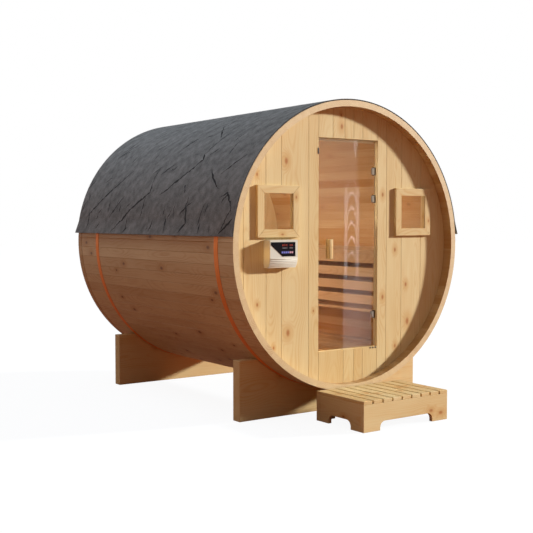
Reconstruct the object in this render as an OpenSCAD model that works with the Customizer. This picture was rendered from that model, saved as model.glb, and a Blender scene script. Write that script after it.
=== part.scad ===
// Barrel sauna on two cradles, with a glass door and a loose entry step.
// Millimetres, +Z up. The barrel lies along Y with its doorway towards -Y.
// The origin is on the ground, in the middle of the outline seen from above.

/* [Barrel] */
// Outside diameter over the staves
barrel_d = 2100; // [2000:10:2400]
// Length of the barrel from rim to rim
barrel_l = 2440; // [1800:10:3600]
// Thickness of the staves
stave_t = 45; // [38:1:60]
// Staves in each of the twelve panels that make the round wall
staves_per_panel = 7; // [5:1:9]
// Height of the barrel's lowest stave above the ground
barrel_rise = 179; // [120:1:260]
// Distance of the scored line from the rear rim
score_inset = 72; // [40:1:76]
// Width of the scored line round the rear rim
score_w = 7; // [3:0.5:12]
// Depth of the scored line round the rear rim
score_depth = 6; // [3:0.5:10]

/* [End walls] */
// Distance of each end wall behind its rim
wall_recess = 80; // [60:1:140]
// Thickness of the end walls
wall_t = 45; // [38:1:60]
// Depth of the groove in the staves that holds each end wall
croze_depth = 12; // [6:1:18]
// Gap left all round a piece that is seated on another
seat_gap = 0.3; // [0.1:0.05:0.6]

/* [Doorway] */
// Width of the doorway
door_w = 564; // [520:2:600]
// Sideways place of the doorway's middle
door_x = 18; // [-20:1:30]
// Height of the wall over the doorway, up to the staves
header_h = 226; // [180:1:280]
// Height of the wall under the doorway, down to the staves
sill_h = 245; // [200:1:300]
// Width of the upright board on each side of the doorway
jamb_w = 88; // [70:1:96]

/* [Glass door] */
// Thickness of the door's glass
glass_t = 8; // [6:1:10]
// Distance of the glass behind the wall's face
glass_set = 26; // [20:1:32]
// Running gap between the glass and the doorway
door_gap = 6; // [5:0.5:9]
// Distance of the hinge pins from the doorway's side
hinge_setback = 13; // [12.5:0.5:16]
// Radius of the hinge pins
pin_r = 3; // [2.5:0.5:3.5]
// Running clearance of the pins in their bores, on the radius
pin_fit = 0.05; // [0.02:0.01:0.1]
// Height of each hinge
hinge_h = 60; // [44:1:70]
// Thickness of a hinge's cheeks
hinge_t = 5; // [4:0.5:6]
// Thickness of the plate that holds a hinge on the jamb
hinge_plate_t = 2.5; // [2:0.5:4]
// Height of a hinge's two ears
ear_h = 5; // [4:0.5:9]
// Metal left round the pin in a hinge's knuckle
knuckle_wall = 3; // [2.5:0.5:3.5]
// Play between a hinge's knuckle and its ears
hinge_play = 0.5; // [0.2:0.1:1]
// Reach of a hinge's cheeks over the glass, from the pin
hinge_reach = 22; // [20:1:44]
// Top hinge's middle below the doorway's head
hinge_top_drop = 227; // [150:1:260]
// Second hinge's middle below the doorway's head
hinge_second_drop = 433; // [380:1:520]
// Low hinge's middle above the doorway's foot
hinge_low_rise = 240; // [150:1:320]
// Width of the wooden pull handle
pull_w = 30; // [26:1:40]
// Height of the wooden pull handle
pull_h = 142; // [120:1:240]
// Reach of the pull handle from the glass
pull_d = 48; // [30:1:60]
// Radius of the finger groove along each side of the handle
pull_groove_r = 7; // [5:0.5:9]
// Handle's middle in from the doorway's free side
pull_inset = 102; // [60:1:160]
// Handle's middle below the barrel's axis
pull_drop = 21; // [-60:1:120]
// Height of the door catch
catch_h = 44; // [30:1:60]
// Catch's middle below the doorway's head
catch_drop = 98; // [50:1:140]
// Thickness of the bent plate that makes the catch
catch_t = 2.5; // [2:0.5:3.5]
// Width of the catch's leaf on the jamb board's face
catch_leaf = 8; // [6:1:14]
// Thickness of the stop strip behind the glass along the head
stop_t = 14; // [10:1:24]
// Width of the stop strip
stop_w = 60; // [44:1:90]
// Depth by which the stop strip hangs below the doorway's head
stop_drop = 20; // [12:1:30]

/* [Windows] */
// Side of each square window frame
window_side = 360; // [320:2:380]
// Width of the window frame's four sides
window_border = 56; // [44:1:70]
// Window frames' top below the doorway's head
window_drop = 350; // [280:1:380]
// How far the outer window frame stands proud of the wall
window_proud = 22; // [20:1:40]
// How far the inner window frame stands proud of the wall
window_inner_proud = 14; // [8:1:24]
// Width of the inner window frame's four sides
window_inner_border = 44; // [34:1:56]
// Thickness of the lining that passes through the wall
window_lining = 10; // [8:1:14]
// Width of the outer frame left beside the glass, behind its lip
window_cheek = 15; // [10:1:22]
// Thickness of the window glass
pane_t = 5; // [4:0.5:8]
// Thickness of the frame's lip in front of the window glass
pane_set = 12; // [8:1:14]

/* [Control box] */
// Width of the control box
box_w = 236; // [226:1:264]
// Height of the control box
box_h = 192; // [150:1:230]
// Depth of the control box
box_d = 77; // [60:1:110]
// Wall of the control box's moulded housing
box_wall = 3; // [2:0.5:5]
// Height of the curled lower front of the box
curl_h = 70; // [50:1:76]
// Depth by which the lower front curls back
curl_d = 26; // [14:1:40]
// Ribs moulded across the curled front
ribs = 5; // [3:1:7]
// Radius of the grooves between the ribs
rib_groove_r = 1.5; // [0.8:0.1:2.4]
// Gap between the box and the window frame over it
box_window_gap = 17; // [8:1:40]
// Distance of the box's middle outwards from the window's middle
box_shift = -3; // [-20:1:20]
// Width of the display glass
display_w = 208; // [150:1:214]
// Height of the display glass
display_h = 99; // [70:1:104]
// Thickness of the display glass on the housing
display_t = 2; // [1:0.5:4]
// Width of the display's slanted corner
display_cut = 98; // [40:1:120]
// Height of the display's slanted corner
display_cut_h = 79; // [40:1:84]
// Border of housing over and beside the display
display_border = 14; // [8:1:20]

/* [Floor and bench] */
// Floor boards across the deck
deck_boards = 9; // [7:1:11]
// Gap between floor boards
deck_gap = 9; // [5:0.5:14]
// Thickness of the floor boards
deck_t = 28; // [20:1:36]
// Deck's top below the doorway's foot
deck_drop = 12; // [6:1:30]
// Thickness of the deck's three bearers
bearer_t = 45; // [35:1:60]
// Distance of the end bearers from the end walls
bearer_inset = 160; // [80:1:300]
// Bench seat's top below the window frames
seat_drop = 114; // [60:1:180]
// Thickness of the seat boards
seat_t = 28; // [22:1:36]
// Boards across the seat
seat_boards = 5; // [4:1:6]
// Gap between seat boards
seat_board_gap = 12; // [6:0.5:18]
// Distance of the bench front from the doorway's side
bench_gap = 48; // [20:1:90]
// Width of each slat in the bench front
slat_w = 70; // [60:1:84]
// Gap between the bench front's slats
slat_gap = 36; // [20:1:44]
// Thickness of the bench front's slats
slat_t = 20; // [16:1:28]
// Least height left open under the bench front for the toes
bench_toe = 200; // [120:1:260]
// Width of the rail under the bench front's slats
rail_w = 22; // [18:1:40]
// Thickness of the bench brackets
bracket_t = 40; // [28:1:60]

/* [Roof and hoops] */
// Thickness of the roof covering
roof_t = 9; // [5:0.5:14]
// Height of the eaves above the barrel's axis
eave_rise = 79; // [50:1:140]
// Height over which the roof covering kicks out at the eaves
eave_kick_h = 100; // [60:1:160]
// Distance by which the eaves stand out from the barrel
eave_kick = 25; // [10:1:40]
// Width of the hoops
hoop_w = 50; // [30:1:60]
// Thickness of the hoops
hoop_t = 2; // [1:0.5:3]
// Gap between each hoop and the cradle behind it
hoop_cradle_gap = 6; // [2:0.5:20]

/* [Cradles] */
// Front cradle's face behind the front rim
cradle_front = 243; // [220:1:400]
// Rear cradle's back ahead of the rear rim
cradle_rear = 265; // [140:1:400]
// Width of the cradles
cradle_w = 1674; // [1500:2:1800]
// Height of the cradles
cradle_h = 430; // [340:2:460]
// Thickness of the cradles
cradle_t = 82; // [60:1:110]

/* [Step] */
// Width of the entry step
step_w = 788; // [640:2:900]
// Depth of the entry step
step_d = 504; // [360:2:600]
// Height of the entry step
step_h = 211; // [170:1:240]
// Sideways place of the step's middle
step_x = 41; // [-60:1:80]
// Gap between the step and the barrel's rim
step_rim_gap = 14; // [6:1:60]
// Slats across the step
step_slats = 9; // [7:1:11]
// Gap between the step's slats
step_slat_gap = 14; // [8:0.5:18]
// Thickness of the step's slats
step_slat_t = 25; // [20:1:32]
// Thickness of the step's aprons
apron_t = 28; // [22:1:36]
// Width of the step's bracket feet along its front and rear
foot_w = 150; // [110:1:160]
// Width of the bracket feet along the step's sides, between its aprons
side_foot_w = 106; // [60:1:120]
// Height of the cut-out between the bracket feet
foot_h = 62; // [45:1:80]
// Radius that rounds the cut-out into each bracket foot
foot_round_r = 44; // [20:1:44]

/* [Hidden] */
$fn = 192;
PANELS = 12;
panel_names = [for (i = [1:PANELS]) str("stave_panel_", i < 10 ? "0" : "", i)];

pine = "#d8b684";
pine_inside = "#b98a5e";
slate = "#55565a";
copper = "#b3622f";
steel = "#a9a9a6";
clear_glass = "#c9d6d2";
housing_cream = "#e2dac9";
display_black = "#252129";
cut = 1;

// Barrel frame: the axis along Y, the front rim at y = 0
r_out = barrel_d / 2;
r_in = r_out - stave_t;
stave_a = 360 / (PANELS * staves_per_panel);
r_clear = r_in * cos(stave_a / 2) - seat_gap;
axis_z = barrel_rise + r_out;
rim_y = step_d + step_rim_gap - (barrel_l + step_d + step_rim_gap) / 2;
cabin_front = wall_recess + wall_t;
cabin_rear = barrel_l - wall_recess - wall_t;
r_wall = r_in + croze_depth - seat_gap;

door_left = door_x - door_w / 2;
door_right = door_x + door_w / 2;
door_head = r_in - header_h;
door_foot = r_in - sill_h;
glass_y = wall_recess + glass_set;
glass_mid_y = glass_y + glass_t / 2;
hinge_x = door_right - hinge_setback;
hinge_zs = [door_head - hinge_top_drop, door_head - hinge_second_drop, hinge_low_rise - door_foot];
knuckle_r = pin_r + knuckle_wall;
knuckle_h = hinge_h - 2 * ear_h - 2 * hinge_play;
hinge_notch = knuckle_r + door_gap;

// Each window is centred between its jamb board and the staves beside its top corner
window_top = door_head - window_drop;
window_rise = window_top - window_side / 2;
window_room_end = sqrt(pow(r_in, 2) - pow(window_top, 2));
window_left_x = (door_left - jamb_w - window_room_end) / 2;
window_right_x = (door_right + jamb_w + window_room_end) / 2;
window_open = window_side - 2 * window_border;
window_hole = window_side - 2 * window_cheek;
window_inner_open = window_hole - 2 * window_lining;
pane_y = wall_recess - window_proud + pane_set;

box_x = window_left_x - box_shift;
box_top = window_rise - window_side / 2 - box_window_gap;
curl_r = (curl_h * curl_h + curl_d * curl_d) / (2 * curl_d);

deck_top = -door_foot - deck_drop;
deck_half = sqrt(pow(r_clear, 2) - pow(deck_top - deck_t, 2)) - cut;
deck_board_w = (2 * deck_half - (deck_boards - 1) * deck_gap) / deck_boards;
bench_x = door_right + bench_gap;
seat_bottom = window_rise - window_side / 2 - seat_drop - seat_t;
seat_w = sqrt(pow(r_clear, 2) - pow(seat_bottom, 2)) - cut - bench_x;
seat_board_w = (seat_w - (seat_boards - 1) * seat_board_gap) / seat_boards;
slats = floor((seat_bottom - deck_top - bench_toe - rail_w) / (slat_w + slat_gap));
front_h = slats * (slat_w + slat_gap) + rail_w;

r_hoop = r_out + seat_gap;
r_roof = r_hoop + hoop_t + seat_gap;
kick_top = eave_rise + eave_kick_h;

step_front = -step_rim_gap - step_d;
step_slat_w = (step_w - (step_slats - 1) * step_slat_gap) / step_slats;
apron_h = step_h - step_slat_t;

function polar(r, a) = [r * cos(a), r * sin(a)];

// Everything is drawn in the barrel frame, then set down over the ground
module in_place() {
    translate([0, rim_y, axis_z]) children();
}

// An outline drawn in X and Z, made into a plate from y to y + t
module plate(y, t) {
    translate([0, y + t, 0]) rotate([90, 0, 0]) linear_extrude(t) children();
}

// An upright rectangle in X and Z, from its lower left to its upper right corner
module slab(x0, z0, x1, z1) {
    translate([x0, z0]) square([x1 - x0, z1 - z0]);
}

// One of the panels of flat staves, grooved inside for both end walls
module stave_panel(i) {
    first_a = -90 + (i - 0.5) * stave_a * staves_per_panel;
    outer = [for (k = [0:staves_per_panel]) polar(r_out, first_a + k * stave_a)];
    inner = [for (k = [staves_per_panel:-1:0]) polar(r_in, first_a + k * stave_a)];
    color(pine) in_place() difference() {
        plate(0, barrel_l) polygon(concat(outer, inner));
        for (y = [wall_recess, barrel_l - wall_recess - wall_t])
            plate(y - seat_gap, wall_t + 2 * seat_gap) circle(r_in + croze_depth);
        plate(barrel_l - score_inset, score_w) difference() {
            circle(r_out + cut);
            circle(r_out - score_depth);
        }
    }
}

// Part of the front wall's disc between two heights and two sides
module front_wall_part(x0, z0, x1, z1) {
    plate(wall_recess, wall_t) intersection() {
        circle(r_wall);
        slab(x0, z0, x1, z1);
    }
}

module window_cut(side, size) {
    x = side < 0 ? window_left_x : window_right_x;
    translate([x - size / 2, window_rise - size / 2]) square(size);
}

module rear_wall() {
    color(pine) in_place() plate(barrel_l - wall_recess - wall_t, wall_t) circle(r_wall);
}

module front_wall_side(side, x0, x1) {
    color(pine) in_place() difference() {
        front_wall_part(x0, -r_out, x1, r_out);
        plate(wall_recess - cut, wall_t + 2 * cut) window_cut(side, window_hole);
    }
}

module front_wall_left() front_wall_side(-1, -r_out, door_left - jamb_w);

module front_wall_right() front_wall_side(1, door_right + jamb_w, r_out);

module door_jamb_left() {
    color(pine) in_place() front_wall_part(door_left - jamb_w, -r_out, door_left, r_out);
}

module door_jamb_right() {
    color(pine) in_place() front_wall_part(door_right, -r_out, door_right + jamb_w, r_out);
}

module door_header() {
    color(pine) in_place() front_wall_part(door_left, door_head, door_right, r_out);
}

module door_sill_panel() {
    color(pine) in_place() front_wall_part(door_left, -r_out, door_right, -door_foot);
}

// Outer window frame: a square casing on the wall, rebated from behind for the glass
module window_frame(side) {
    color(pine) in_place() difference() {
        plate(wall_recess - window_proud, window_proud) window_cut(side, window_side);
        plate(wall_recess - window_proud - cut, window_proud) window_cut(side, window_open);
        plate(pane_y, window_proud) window_cut(side, window_hole);
    }
}

module window_frame_left() window_frame(-1);

module window_frame_right() window_frame(1);

module window_glass(side) {
    color(clear_glass) in_place() plate(pane_y, pane_t) window_cut(side, window_hole - 2 * seat_gap);
}

module window_glass_left() window_glass(-1);

module window_glass_right() window_glass(1);

// Inner window frame: its lining closes on the glass from the cabin side
module window_inner_frame(side) {
    color(pine) in_place() {
        plate(cabin_front, window_inner_proud) difference() {
            window_cut(side, window_inner_open + 2 * window_inner_border);
            window_cut(side, window_inner_open);
        }
        plate(pane_y + pane_t, cabin_front - pane_y - pane_t) difference() {
            window_cut(side, window_hole - 2 * seat_gap);
            window_cut(side, window_inner_open);
        }
    }
}

module window_inner_frame_left() window_inner_frame(-1);

module window_inner_frame_right() window_inner_frame(1);

// Frameless glass leaf, notched round each hinge
module door_glass() {
    color(clear_glass) in_place() plate(glass_y, glass_t) difference() {
        slab(door_left + door_gap, -door_foot + door_gap, door_right - door_gap, door_head - door_gap);
        for (z = hinge_zs)
            slab(hinge_x - hinge_notch, z - hinge_h / 2 - door_gap, door_right, z + hinge_h / 2 + door_gap);
    }
}

// Wooden pull, a block with a finger groove down each side next to the glass
module door_pull() {
    x = door_left + pull_inset;
    color(pine) in_place() difference() {
        plate(glass_y - pull_d, pull_d)
            slab(x - pull_w / 2, -pull_drop - pull_h / 2, x + pull_w / 2, pull_h / 2 - pull_drop);
        for (s = [-1, 1])
            translate([x + s * pull_w / 2, glass_y - 2 * pull_groove_r, -pull_drop - pull_h / 2 - cut])
                cylinder(r = pull_groove_r, h = pull_h + 2 * cut);
    }
}

// Moving half of the hinges: a knuckle bored for its pin, with two cheeks that grip the glass
module door_hinge_clamps() {
    cheek_d = glass_t + 2 * hinge_t;
    color(steel) in_place() for (z = hinge_zs) translate([hinge_x, glass_mid_y, z - knuckle_h / 2])
        difference() {
            union() {
                cylinder(r = knuckle_r, h = knuckle_h);
                translate([-hinge_reach, -cheek_d / 2, 0]) cube([hinge_reach, cheek_d, knuckle_h]);
            }
            translate([0, 0, -cut]) cylinder(r = pin_r + pin_fit, h = knuckle_h + 2 * cut);
            translate([-hinge_reach - cut, -glass_t / 2, -cut])
                cube([hinge_reach + cut - hinge_notch, glass_t, knuckle_h + 2 * cut]);
        }
}

// Fixed half of the hinges: a plate on the jamb with two ears and the pin between them
module door_hinge_plates() {
    color(steel) in_place() for (z = hinge_zs) translate([hinge_x, glass_mid_y, z - hinge_h / 2]) {
        translate([hinge_setback - hinge_plate_t, -knuckle_r, 0])
            cube([hinge_plate_t, 2 * knuckle_r, hinge_h]);
        for (ear_z = [0, hinge_h - ear_h]) translate([0, 0, ear_z]) {
            cylinder(r = knuckle_r, h = ear_h);
            translate([0, -knuckle_r, 0]) cube([hinge_setback, 2 * knuckle_r, ear_h]);
        }
        cylinder(r = pin_r, h = hinge_h);
    }
}

// Catch bent from a plate: a leaf on the jamb board's face, a leg into the doorway, a lip behind the glass
module door_catch() {
    lip_y = glass_y + glass_t + door_gap / 2;
    foot_z = door_head - catch_drop - catch_h / 2;
    color(steel) in_place() translate([door_left, wall_recess - catch_t, foot_z])
        linear_extrude(catch_h) {
            translate([-catch_leaf, 0]) square([catch_leaf + catch_t, catch_t]);
            square([catch_t, lip_y - wall_recess + 2 * catch_t]);
            translate([0, lip_y - wall_recess + catch_t]) square([2 * door_gap, catch_t]);
        }
}

// Stop strip on the header's inner face, which hangs a little below the head
module door_head_stop() {
    color(pine) in_place() plate(cabin_front, stop_t)
        slab(door_left, door_head - stop_drop, door_right, door_head - stop_drop + stop_w);
}

// Side view of the control box: upright above, curled back to the wall below
module box_profile(inset) {
    depth = box_d - inset;
    intersection() {
        translate([-depth, -box_h + inset]) square([depth + (inset > 0 ? cut : 0), box_h - 2 * inset]);
        union() {
            translate([-box_d, curl_h - box_h]) square([box_d + cut, box_h - curl_h]);
            translate([curl_r - box_d, curl_h - box_h]) circle(curl_r - inset);
        }
    }
}

// An outline in Y and Z, made into a bar across X
module across(x0, w) {
    translate([x0, 0, 0]) rotate([90, 0, 90]) linear_extrude(w) children();
}

// Moulded housing, open at the back where it lies on the wall
module control_box() {
    color(housing_cream) in_place() translate([box_x, wall_recess, box_top]) difference() {
        across(-box_w / 2, box_w) box_profile(0);
        across(-box_w / 2 + box_wall, box_w - 2 * box_wall) box_profile(box_wall);
        for (k = [1:ribs]) {
            a = asin(curl_h / curl_r) * k / (ribs + 1);
            translate([0, curl_r - box_d - curl_r * cos(a), curl_h - box_h - curl_r * sin(a)])
                rotate([0, 90, 0]) cylinder(r = rib_groove_r, h = box_w + 2 * cut, center = true);
        }
    }
}

// Dark display glass with one slanted corner
module control_display() {
    x0 = box_x - box_w / 2 + display_border / 2;
    z1 = box_top - display_border;
    z0 = max(z1 - display_h, box_top - box_h + curl_h);
    color(display_black) in_place() plate(wall_recess - box_d - display_t, display_t) polygon([
        [x0, z1], [x0 + display_w, z1], [x0 + display_w, z0],
        [x0 + display_cut, z0], [x0, z0 + display_cut_h]
    ]);
}

// Three bearers cut to the round of the staves
module floor_bearers() {
    z1 = deck_top - deck_t;
    middle_y = (cabin_front + cabin_rear - bearer_t) / 2;
    color(pine_inside) in_place()
        for (y = [cabin_front + bearer_inset, middle_y, cabin_rear - bearer_inset - bearer_t])
            plate(y, bearer_t) intersection() {
                circle(r_clear);
                slab(-deck_half, -r_out, deck_half, z1);
            }
}

module floor_deck() {
    color(pine_inside) in_place() for (i = [0:deck_boards - 1])
        translate([-deck_half + i * (deck_board_w + deck_gap), cabin_front + seat_gap, deck_top - deck_t])
            cube([deck_board_w, cabin_rear - cabin_front - 2 * seat_gap, deck_t]);
}

// Brackets under the bench, cut to the round of the staves
module bench_brackets() {
    middle_y = (cabin_front + cabin_rear - bracket_t) / 2;
    color(pine_inside) in_place() for (y = [cabin_front, middle_y, cabin_rear - bracket_t])
        plate(y, bracket_t) intersection() {
            circle(r_clear);
            slab(bench_x + slat_t, seat_bottom - front_h, r_out, seat_bottom);
        }
}

module bench_seat() {
    color(pine_inside) in_place() for (i = [0:seat_boards - 1])
        translate([bench_x + i * (seat_board_w + seat_board_gap), cabin_front + seat_gap, seat_bottom])
            cube([seat_board_w, cabin_rear - cabin_front - 2 * seat_gap, seat_t]);
}

// Slatted front of the bench, with a narrow rail along its foot
module bench_front() {
    length = cabin_rear - cabin_front - 2 * seat_gap;
    color(pine_inside) in_place() translate([bench_x, cabin_front + seat_gap, seat_bottom]) {
        for (i = [0:slats - 1])
            translate([0, 0, -i * (slat_w + slat_gap) - slat_w]) cube([slat_t, length, slat_w]);
        translate([0, 0, -front_h]) cube([slat_t, length, rail_w]);
    }
}

// Flat metal band round the staves
module hoop(y) {
    color(copper) in_place() plate(y, hoop_w) difference() {
        circle(r_hoop + hoop_t);
        circle(r_hoop);
    }
}

module hoop_front() hoop(cradle_front - hoop_cradle_gap - hoop_w);

module hoop_rear() hoop(barrel_l - cradle_rear - cradle_t - hoop_cradle_gap - hoop_w);

// Filled section of the roof's outer or inner face: a round top over two straight kicks
module roof_section(r, foot_x, below) {
    kick_x = sqrt(pow(r, 2) - pow(kick_top, 2));
    intersection() {
        circle(r);
        slab(-r, kick_top, r, r);
    }
    polygon([
        [-foot_x, eave_rise - below], [foot_x, eave_rise - below], [foot_x, eave_rise],
        [kick_x, kick_top], [0, r / 2], [-kick_x, kick_top], [-foot_x, eave_rise]
    ]);
}

// Roof covering over the upper half, kicked out at both eaves
module roof_covering() {
    eave_x = sqrt(pow(r_roof, 2) - pow(eave_rise, 2)) + eave_kick;
    color(slate) in_place() plate(0, barrel_l) difference() {
        roof_section(r_roof + roof_t, eave_x + roof_t, 0);
        roof_section(r_roof, eave_x, cut);
    }
}

// Cradle board, hollowed to the round of the barrel
module cradle(y) {
    color(pine) in_place() plate(y, cradle_t) difference() {
        slab(-cradle_w / 2, -axis_z, cradle_w / 2, cradle_h - axis_z);
        circle(r_out + seat_gap);
    }
}

module cradle_front_board() cradle(cradle_front);

module cradle_rear_board() cradle(barrel_l - cradle_rear - cradle_t);

// Treads run from front to back over the aprons
module step_treads() {
    color(pine) in_place() for (i = [0:step_slats - 1])
        translate([step_x - step_w / 2 + i * (step_slat_w + step_slat_gap), step_front, apron_h - axis_z])
            cube([step_slat_w, step_d, step_slat_t]);
}

// Apron board that stands on two bracket feet
module apron(w, foot) {
    difference() {
        square([w, apron_h]);
        translate([foot, -cut]) square([w - 2 * foot, foot_h - foot_round_r + cut]);
        translate([foot + foot_round_r, 0]) square([w - 2 * (foot + foot_round_r), foot_h]);
        for (x = [foot + foot_round_r, w - foot - foot_round_r])
            translate([x, foot_h - foot_round_r]) circle(foot_round_r);
    }
}

module step_apron(y) {
    color(pine) in_place() translate([step_x - step_w / 2, 0, -axis_z])
        plate(y, apron_t) apron(step_w, foot_w);
}

module step_apron_front() step_apron(step_front);

module step_apron_rear() step_apron(step_front + step_d - apron_t);

module step_side(x) {
    side_l = step_d - 2 * apron_t;
    color(pine) in_place() translate([x, step_front + apron_t, -axis_z])
        across(0, apron_t) apron(side_l, side_foot_w);
}

module step_side_left() step_side(step_x - step_w / 2);

module step_side_right() step_side(step_x + step_w / 2 - apron_t);

for (i = [0:PANELS - 1]) stave_panel(i);
rear_wall();
front_wall_left();
front_wall_right();
door_jamb_left();
door_jamb_right();
door_header();
door_sill_panel();
window_frame_left();
window_frame_right();
window_glass_left();
window_glass_right();
window_inner_frame_left();
window_inner_frame_right();
door_glass();
door_pull();
door_hinge_clamps();
door_hinge_plates();
door_catch();
door_head_stop();
control_box();
control_display();
floor_bearers();
floor_deck();
bench_brackets();
bench_seat();
bench_front();
hoop_front();
hoop_rear();
roof_covering();
cradle_front_board();
cradle_rear_board();
step_treads();
step_apron_front();
step_apron_rear();
step_side_left();
step_side_right();
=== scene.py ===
import math
import random

import bmesh
import bpy
from mathutils import Matrix, Vector


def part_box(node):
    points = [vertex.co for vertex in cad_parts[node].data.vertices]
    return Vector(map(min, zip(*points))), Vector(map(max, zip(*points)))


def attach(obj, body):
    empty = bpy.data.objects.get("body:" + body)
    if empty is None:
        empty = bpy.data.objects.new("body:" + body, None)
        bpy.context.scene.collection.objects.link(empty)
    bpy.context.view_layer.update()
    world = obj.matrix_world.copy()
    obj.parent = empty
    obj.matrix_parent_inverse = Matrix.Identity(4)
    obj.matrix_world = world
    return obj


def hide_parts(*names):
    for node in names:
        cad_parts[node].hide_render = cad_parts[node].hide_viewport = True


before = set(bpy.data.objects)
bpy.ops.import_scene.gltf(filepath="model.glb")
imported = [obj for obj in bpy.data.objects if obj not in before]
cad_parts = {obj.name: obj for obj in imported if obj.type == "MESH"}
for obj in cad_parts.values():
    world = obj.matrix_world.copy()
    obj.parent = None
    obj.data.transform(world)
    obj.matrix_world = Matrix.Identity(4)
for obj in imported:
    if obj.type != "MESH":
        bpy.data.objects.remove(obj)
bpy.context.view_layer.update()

# Studio. A pale seamless floor runs into a white background. A low warm sun stands to the right of the
# doorway, a broad cool skylight hangs over the left of the barrel, and small lamps light the cabin.
scene = bpy.context.scene
scene.view_settings.view_transform = "Standard"

camera_data = bpy.data.cameras.new("camera")
camera_data.sensor_width = 36.0
camera_data.lens = 64.35
camera_data.clip_end = 200.0
camera = bpy.data.objects.new("camera", camera_data)
camera.location = (-4.5195, -6.2215, 1.4255)
tilt_down, turn_right = 2.8564, 35.42478
camera.rotation_euler = (math.radians(90 - tilt_down), 0, math.radians(-turn_right))
scene.collection.objects.link(camera)
scene.camera = camera


def linear(colour):
    """An sRGB hex colour as the linear RGBA that a shader takes."""
    parts = [int(colour[i:i + 2], 16) / 255 for i in (1, 3, 5)]
    return [c / 12.92 if c <= 0.04045 else ((c + 0.055) / 1.055) ** 2.4 for c in parts] + [1.0]


def add(tree, kind, inputs=None, **settings):
    """Adds one node with its settings. Inputs go by name or number, as a value, an output or another node,
    which gives the first of its outputs that is in use."""
    node = tree.nodes.new("ShaderNode" + kind)
    for name, value in settings.items():
        setattr(node, name, value)
    for socket, value in (inputs or {}).items():
        if isinstance(value, bpy.types.Node):
            value = next(out for out in value.outputs if out.enabled)
        if isinstance(value, bpy.types.NodeSocket):
            tree.links.new(value, node.inputs[socket])
        else:
            node.inputs[socket].default_value = value
    return node


def seen_as_background(tree, gloss):
    """1 for rays that show the background, from the camera or through glass, and less off a gloss."""
    ray = add(tree, "LightPath").outputs
    either = add(tree, "Math", {0: ray["Is Camera Ray"], 1: ray["Is Transmission Ray"]}, operation="MAXIMUM")
    shine = add(tree, "Math", {0: ray["Is Glossy Ray"], 1: gloss}, operation="MULTIPLY")
    return add(tree, "Math", {0: either, 1: shine}, operation="MAXIMUM")


world = bpy.data.worlds.new("white_studio")
scene.world = world
world.use_nodes = True
sky = world.node_tree
sky.nodes.clear()
height = add(sky, "SeparateXYZ", {0: add(sky, "TexCoord").outputs["Generated"]}).outputs[2]
height = add(sky, "MapRange", {"Value": height, 1: 0.2, 2: 0.9}, interpolation_type="SMOOTHSTEP")
tint = add(sky, "Mix", {0: height, 6: linear("#f2b184"), 7: linear("#eef3fa")}, data_type="RGBA")
power = add(sky, "MapRange", {"Value": height, 3: 0.215, 4: 0.42})
fill_light = add(sky, "Background", {"Color": tint, "Strength": power})
white_back = add(sky, "Background", {"Color": linear("#ffffff"), "Strength": 1.0})
both = add(sky, "MixShader", {0: seen_as_background(sky, 0.8), 1: fill_light, 2: white_back})
add(sky, "OutputWorld", {"Surface": both})


def bare_material(name):
    """A new material with an empty node tree, and that tree."""
    material = bpy.data.materials.new(name)
    material.use_nodes = True
    material.node_tree.nodes.clear()
    return material, material.node_tree


def link_mesh(name, bm, material):
    """Makes a finished bmesh an object at the origin."""
    mesh = bpy.data.meshes.new(name)
    bm.to_mesh(mesh)
    bm.free()
    mesh.materials.append(material)
    made = bpy.data.objects.new(name, mesh)
    scene.collection.objects.link(made)
    return made


# Matt white paper sweep: shown almost white, with a faint trace of the shadow that it keeps
paper, sheet = bare_material("matt_white_paper")
bounce = add(sheet, "BsdfDiffuse", {"Color": linear("#a9735b")})
glow = add(sheet, "Emission", {"Color": linear("#ffffff"), "Strength": 0.93})
trace = add(sheet, "BsdfDiffuse", {"Color": linear("#555a60")})
lit_paper = add(sheet, "AddShader", {0: glow, 1: trace})
# The sweep turns glossy white some way off
afar = add(sheet, "VectorMath", {0: add(sheet, "TexCoord").outputs["Object"]}, operation="LENGTH")
shine = add(sheet, "MapRange", {"Value": afar, 1: 7.0, 2: 20.0, 3: 0.05, 4: 1.1})
surface = add(sheet, "MixShader", {0: seen_as_background(sheet, shine), 1: bounce, 2: lit_paper})
add(sheet, "OutputMaterial", {"Surface": surface})
floor_bm = bmesh.new()
bmesh.ops.create_grid(floor_bm, x_segments=1, y_segments=1, size=40)
bmesh.ops.translate(floor_bm, vec=(0, 0, -0.0005), verts=floor_bm.verts)
link_mesh("studio_floor", floor_bm, paper)


def lamp(name, kind, colour, power, place, aim, **settings):
    """A lamp at place that points at aim, and isn't seen itself."""
    data = bpy.data.lights.new(name, kind)
    data.color = linear(colour)[:3]
    data.energy = power
    for key, value in settings.items():
        setattr(data, key, value)
    made = bpy.data.objects.new(name, data)
    made.location = place
    made.rotation_euler = (Vector(aim) - Vector(place)).to_track_quat("-Z", "Y").to_euler()
    made.visible_camera = False
    scene.collection.objects.link(made)
    return made


sun_travel = Vector((-0.892, 0.357, -0.278))
lamp("low_sun", "SUN", "#fffbf1", 5.7, -10 * sun_travel, (0, 0, 0), angle=math.radians(4.0))
lamp("skylight", "AREA", "#eef3ff", 120.0, (-2.4, 1.4, 6.6), (-0.2, 0.3, 1.8), size=3.0)
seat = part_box("bench_seat")[1]
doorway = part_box("door_header")
reveal = Vector((doorway[0].x + 0.01, doorway[0].y + 0.018, doorway[0].z - 0.33))
across_reveal = (doorway[1].x, doorway[0].y + 0.013, reveal.z)
control = (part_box("control_box")[0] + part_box("control_box")[1]) / 2
box_side = Vector((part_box("control_box")[0].x, control.y, control.z))
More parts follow.
